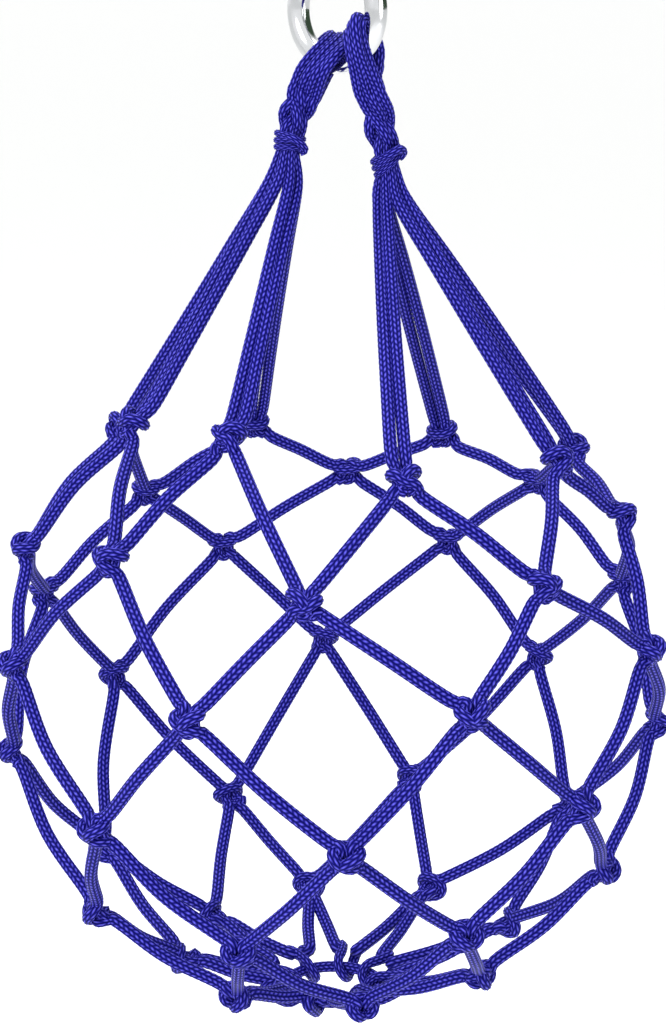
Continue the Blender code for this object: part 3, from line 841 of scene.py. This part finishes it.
# %% [markdown]
# ## The lashings
#
# A lashing is a short length of the same cord, hauled tight round the eight and finished with
# a half hitch. The left one lies level with its loop end standing out on the right; the right
# one climbs from left to right and ends in a lump.

# %% Wrap a lashing
WRAP_TURNS, WRAP_STEPS = 2, 12
WRAP_START = math.radians(200)
WRAP_RISE = 2.5                # from one turn to the next, in millimetres
WRAP_REACH = 4.8 * MM
WRAP_CORD_RADIUS = 1.1 * MM


def lashing_line(lashing, lean, hitch):
    """Two tight turns that lean across the bundle, ending in a hitch that stands out."""
    guides = []
    for k in range(WRAP_TURNS * WRAP_STEPS + 1):
        angle = 2 * math.pi * k / WRAP_STEPS + WRAP_START
        rise = (k / WRAP_STEPS - WRAP_TURNS / 2) * WRAP_RISE * MM
        height = rise + lean * WRAP_REACH * math.cos(angle)
        turn_point = lashing.at(WRAP_REACH * math.cos(angle), WRAP_REACH * math.sin(angle), height)
        guides.append((turn_point, WRAP_CORD_RADIUS))
    for right, back, up, radius in hitch:
        guides.append((lashing.at(right * MM, back * MM, up * MM), radius * MM))
    return smooth(guides, SMOOTH_STEPS)


LEFT_HITCH = [(0.6, -6.4, 1.6, 1.3), (4.2, -5.6, -0.2, 1.4), (5.8, -3.2, -2.2, 1.5), (4.3, -3.0, -3.4, 1.3)]
RIGHT_HITCH = [(1.3, -6.4, 2.8, 1.4), (5.0, -4.8, 3.8, 1.6), (6.3, -1.8, 2.0, 1.6), (4.6, -2.6, 0.2, 1.3)]
for lashing, lean, hitch in zip(lashings, (0.05, 0.55), (LEFT_HITCH, RIGHT_HITCH)):
    name = f"gather_wrap_{lashing.side}"
    wrap = make_cords(name, [lashing_line(lashing, lean, hitch)], net_blue)
    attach(wrap, "bag")
    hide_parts(f"gather_lashing_{lashing.side}")

# %% [markdown]
# ## The steel ring
#
# The ring is round bar, bent, butt welded and polished bright. The weld leaves a slight swelling
# that polishing never quite takes away. A circle swept along a circle is the whole shape, so
# a small node tree makes it, with the swelling as a bump in the bar's thickness.

# %% The ring tree
WELD_PLACE, WELD_WIDTH, WELD_SWELL = 0.11, 0.012, 0.07     # shares of the way round, and of the bar


def make_ring_tree():
    tree = bpy.data.node_groups.new("welded ring", "GeometryNodeTree")
    new = tree.interface.new_socket
    new("Geometry", in_out="INPUT", socket_type="NodeSocketGeometry")
    sizes = (("Ring Radius", BAR_MIDDLE_RADIUS), ("Bar Radius", WIRE_RADIUS), ("Weld Swell", WELD_SWELL))
    for name, value in sizes:
        new(name, in_out="INPUT", socket_type="NodeSocketFloat").default_value = value
    new("Steel", in_out="INPUT", socket_type="NodeSocketMaterial")
    new("Geometry", in_out="OUTPUT", socket_type="NodeSocketGeometry")
    given = add_node(tree, "NodeGroupInput", (-900, 0)).outputs
    link = tree.links.new
    path = add_node(tree, "GeometryNodeCurvePrimitiveCircle", (-700, 0))
    path.inputs["Resolution"].default_value = 160
    link(given["Ring Radius"], path.inputs["Radius"])
    bar = add_node(tree, "GeometryNodeCurvePrimitiveCircle", (-700, -250))
    bar.inputs["Resolution"].default_value = 48
    link(given["Bar Radius"], bar.inputs["Radius"])
    factor = add_node(tree, "GeometryNodeSplineParameter", (-700, -450)).outputs["Factor"]
    away = maths(tree, "DIVIDE", maths(tree, "SUBTRACT", factor, WELD_PLACE), WELD_WIDTH)
    swell = maths(tree, "EXPONENT", maths(tree, "MULTIPLY", maths(tree, "MULTIPLY", away, away), -1))
    scale = maths(tree, "ADD", maths(tree, "MULTIPLY", swell, given["Weld Swell"]), 1)
    sweep = add_node(tree, "GeometryNodeCurveToMesh", (-300, 0))
    link(path.outputs["Curve"], sweep.inputs["Curve"])
    link(bar.outputs["Curve"], sweep.inputs["Profile Curve"])
    link(scale, sweep.inputs["Scale"])
    whole = add_node(tree, "GeometryNodeRealizeInstances", (-100, 0))
    finish = add_node(tree, "GeometryNodeSetMaterial", (100, 0))
    end = add_node(tree, "NodeGroupOutput", (300, 0))
    link(sweep.outputs["Mesh"], whole.inputs["Geometry"])
    link(whole.outputs["Geometry"], finish.inputs["Geometry"])
    link(given["Steel"], finish.inputs["Material"])
    link(finish.outputs["Geometry"], end.inputs["Geometry"])
    return tree


# %% [markdown]
# Polished steel is mostly what it reflects. What makes it steel and not a mirror is the fine
# cross-hatch of handling scratches and a faint cloudiness, so both go into the roughness.

# %% The steel finish
def make_steel():
    material = bpy.data.materials.new("polished_ring_steel")
    material.use_nodes = True
    tree = material.node_tree
    shader = tree.nodes["Principled BSDF"]
    shader.inputs["Metallic"].default_value = 1.0
    place = add_node(tree, "ShaderNodeTexCoord", (-1100, 0))
    cloud = add_node(tree, "ShaderNodeTexNoise", (-800, 100))
    cloud.inputs["Scale"].default_value = 90
    cloud.inputs["Detail"].default_value = 4
    scratch_map = add_node(tree, "ShaderNodeMapping", (-950, -200))
    scratch_map.inputs["Rotation"].default_value = (0.3, 0.6, 0.9)
    scratch_map.inputs["Scale"].default_value = (60, 900, 2400)
    scratches = add_node(tree, "ShaderNodeTexNoise", (-800, -200))
    scratches.inputs["Scale"].default_value = 1.0
    scratches.inputs["Detail"].default_value = 3
    tree.links.new(place.outputs["Object"], cloud.inputs["Vector"])
    tree.links.new(place.outputs["Object"], scratch_map.inputs["Vector"])
    tree.links.new(scratch_map.outputs["Vector"], scratches.inputs["Vector"])
    shine = maths(tree, "ADD", maths(tree, "MULTIPLY", cloud.outputs["Fac"], 0.12),
                  maths(tree, "MULTIPLY", scratches.outputs["Fac"], 0.10))
    tree.links.new(shine, shader.inputs["Roughness"])
    tint = mix_colour(tree, cloud.outputs["Fac"], (0.50, 0.51, 0.53), (0.70, 0.71, 0.72), (-400, 300))
    tree.links.new(tint, shader.inputs["Base Color"])
    bump = add_node(tree, "ShaderNodeBump", (-300, -250))
    bump.inputs["Strength"].default_value = 0.12
    bump.inputs["Distance"].default_value = 0.00005
    tree.links.new(scratches.outputs["Fac"], bump.inputs["Height"])
    tree.links.new(bump.outputs["Normal"], shader.inputs["Normal"])
    return material


# %% Sweep the ring and stand it up
ring_tree = make_ring_tree()
steel = make_steel()
ring_guide = add_object("ring_guide", bpy.data.meshes.new("ring_seed"))
bend = ring_guide.modifiers.new("ring", "NODES")
bend.node_group = ring_tree
bend[socket_id(ring_tree, "Ring Radius")] = BAR_MIDDLE_RADIUS
bend[socket_id(ring_tree, "Bar Radius")] = WIRE_RADIUS
bend[socket_id(ring_tree, "Weld Swell")] = WELD_SWELL
bend[socket_id(ring_tree, "Steel")] = steel
graph = bpy.context.evaluated_depsgraph_get()
ring_mesh = bpy.data.meshes.new_from_object(ring_guide.evaluated_get(graph), depsgraph=graph)
for vertex in ring_mesh.vertices:
    flat = vertex.co.copy()
    vertex.co = ring_middle + along_ring * flat.x + Vector((0, 0, flat.y)) + across_ring * -flat.z
ring_mesh.shade_smooth()
bpy.data.objects.remove(ring_guide)
steel_ring = add_object("steel_ring", ring_mesh)
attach(steel_ring, "ring")
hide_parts("hanging_ring")
print("steel ring:", len(ring_mesh.polygons), "faces")

# %% [markdown]
# ## Stage, light and camera
#
# A pale floor well below the bag, a bright even surround, and three large soft lamps: the braid
# needs a broad highlight from the front left, and the ring needs something bright to reflect.

# %% The floor
FLOOR_DROP = 0.25
FLOOR_REACH = 90.0
floor_height = cad_box[0][2] - FLOOR_DROP
corners = ((-1, -1), (1, -1), (1, 1), (-1, 1))
floor_mesh = bpy.data.meshes.new("pale_floor")
floor_mesh.from_pydata(
    [(x * FLOOR_REACH, y * FLOOR_REACH, floor_height) for x, y in corners], [], [(0, 1, 2, 3)])
pale_floor = add_object("pale_floor", floor_mesh)
paint = bpy.data.materials.new("pale_floor_paint")
paint.use_nodes = True
floor_shader = paint.node_tree.nodes["Principled BSDF"]
floor_shader.inputs["Base Color"].default_value = (0.97, 0.97, 0.97, 1)
floor_shader.inputs["Roughness"].default_value = 0.8
floor_mesh.materials.append(paint)


# %% The lamps and the surround
def add_lamp(name, place, aim, size, power):
    data = bpy.data.lights.new(name, "AREA")
    data.shape = "DISK"
    data.size = size
    data.energy = power
    lamp = add_object(name, data)
    lamp.location = place
    lamp.rotation_euler = (aim - Vector(place)).to_track_quat("-Z", "Y").to_euler()


add_lamp("key_lamp", (-0.9, -1.3, 0.7), ball_centre, 0.9, 20)
add_lamp("fill_lamp", (1.3, -0.9, 0.1), ball_centre, 1.1, 9)
add_lamp("top_lamp", (0.1, 0.3, 1.3), ball_centre, 1.0, 14)
world = bpy.data.worlds.new("studio")
world.use_nodes = True
sky = world.node_tree
facing = add_node(sky, "ShaderNodeTexCoord", (-900, 0))
axes = add_node(sky, "ShaderNodeSeparateXYZ", (-700, 0))
sky.links.new(facing.outputs["Generated"], axes.inputs[0])
dark_side = add_node(sky, "ShaderNodeMapRange", (-500, 0), interpolation_type="SMOOTHSTEP")
dark_side.inputs["From Min"].default_value = 0.4
dark_side.inputs["From Max"].default_value = 0.65
sky.links.new(axes.outputs["X"], dark_side.inputs["Value"])
sky.links.new(mix_colour(sky, dark_side.outputs["Result"], (1.0, 1.0, 1.0), (0.05, 0.08, 0.05), (-250, 0)),
              sky.nodes["Background"].inputs["Color"])
sky.nodes["Background"].inputs["Strength"].default_value = 1.22
bpy.context.scene.world = world
bpy.context.scene.view_settings.view_transform = "Standard"

# %% The camera
CAMERA_DISTANCE = 0.984
CAMERA_RISE = math.radians(15.7)
CAMERA_DIP = math.radians(12.15)
camera_data = bpy.data.cameras.new("camera")
camera_data.sensor_width = 36
camera_data.lens = 91.4
camera_data.clip_start = 0.01
camera = add_object("camera", camera_data)
camera.location = ball_centre + Vector((
    0, -CAMERA_DISTANCE * math.cos(CAMERA_RISE), CAMERA_DISTANCE * math.sin(CAMERA_RISE)))
camera.rotation_euler = (math.pi / 2 - CAMERA_DIP, 0, 0)
bpy.context.scene.camera = camera
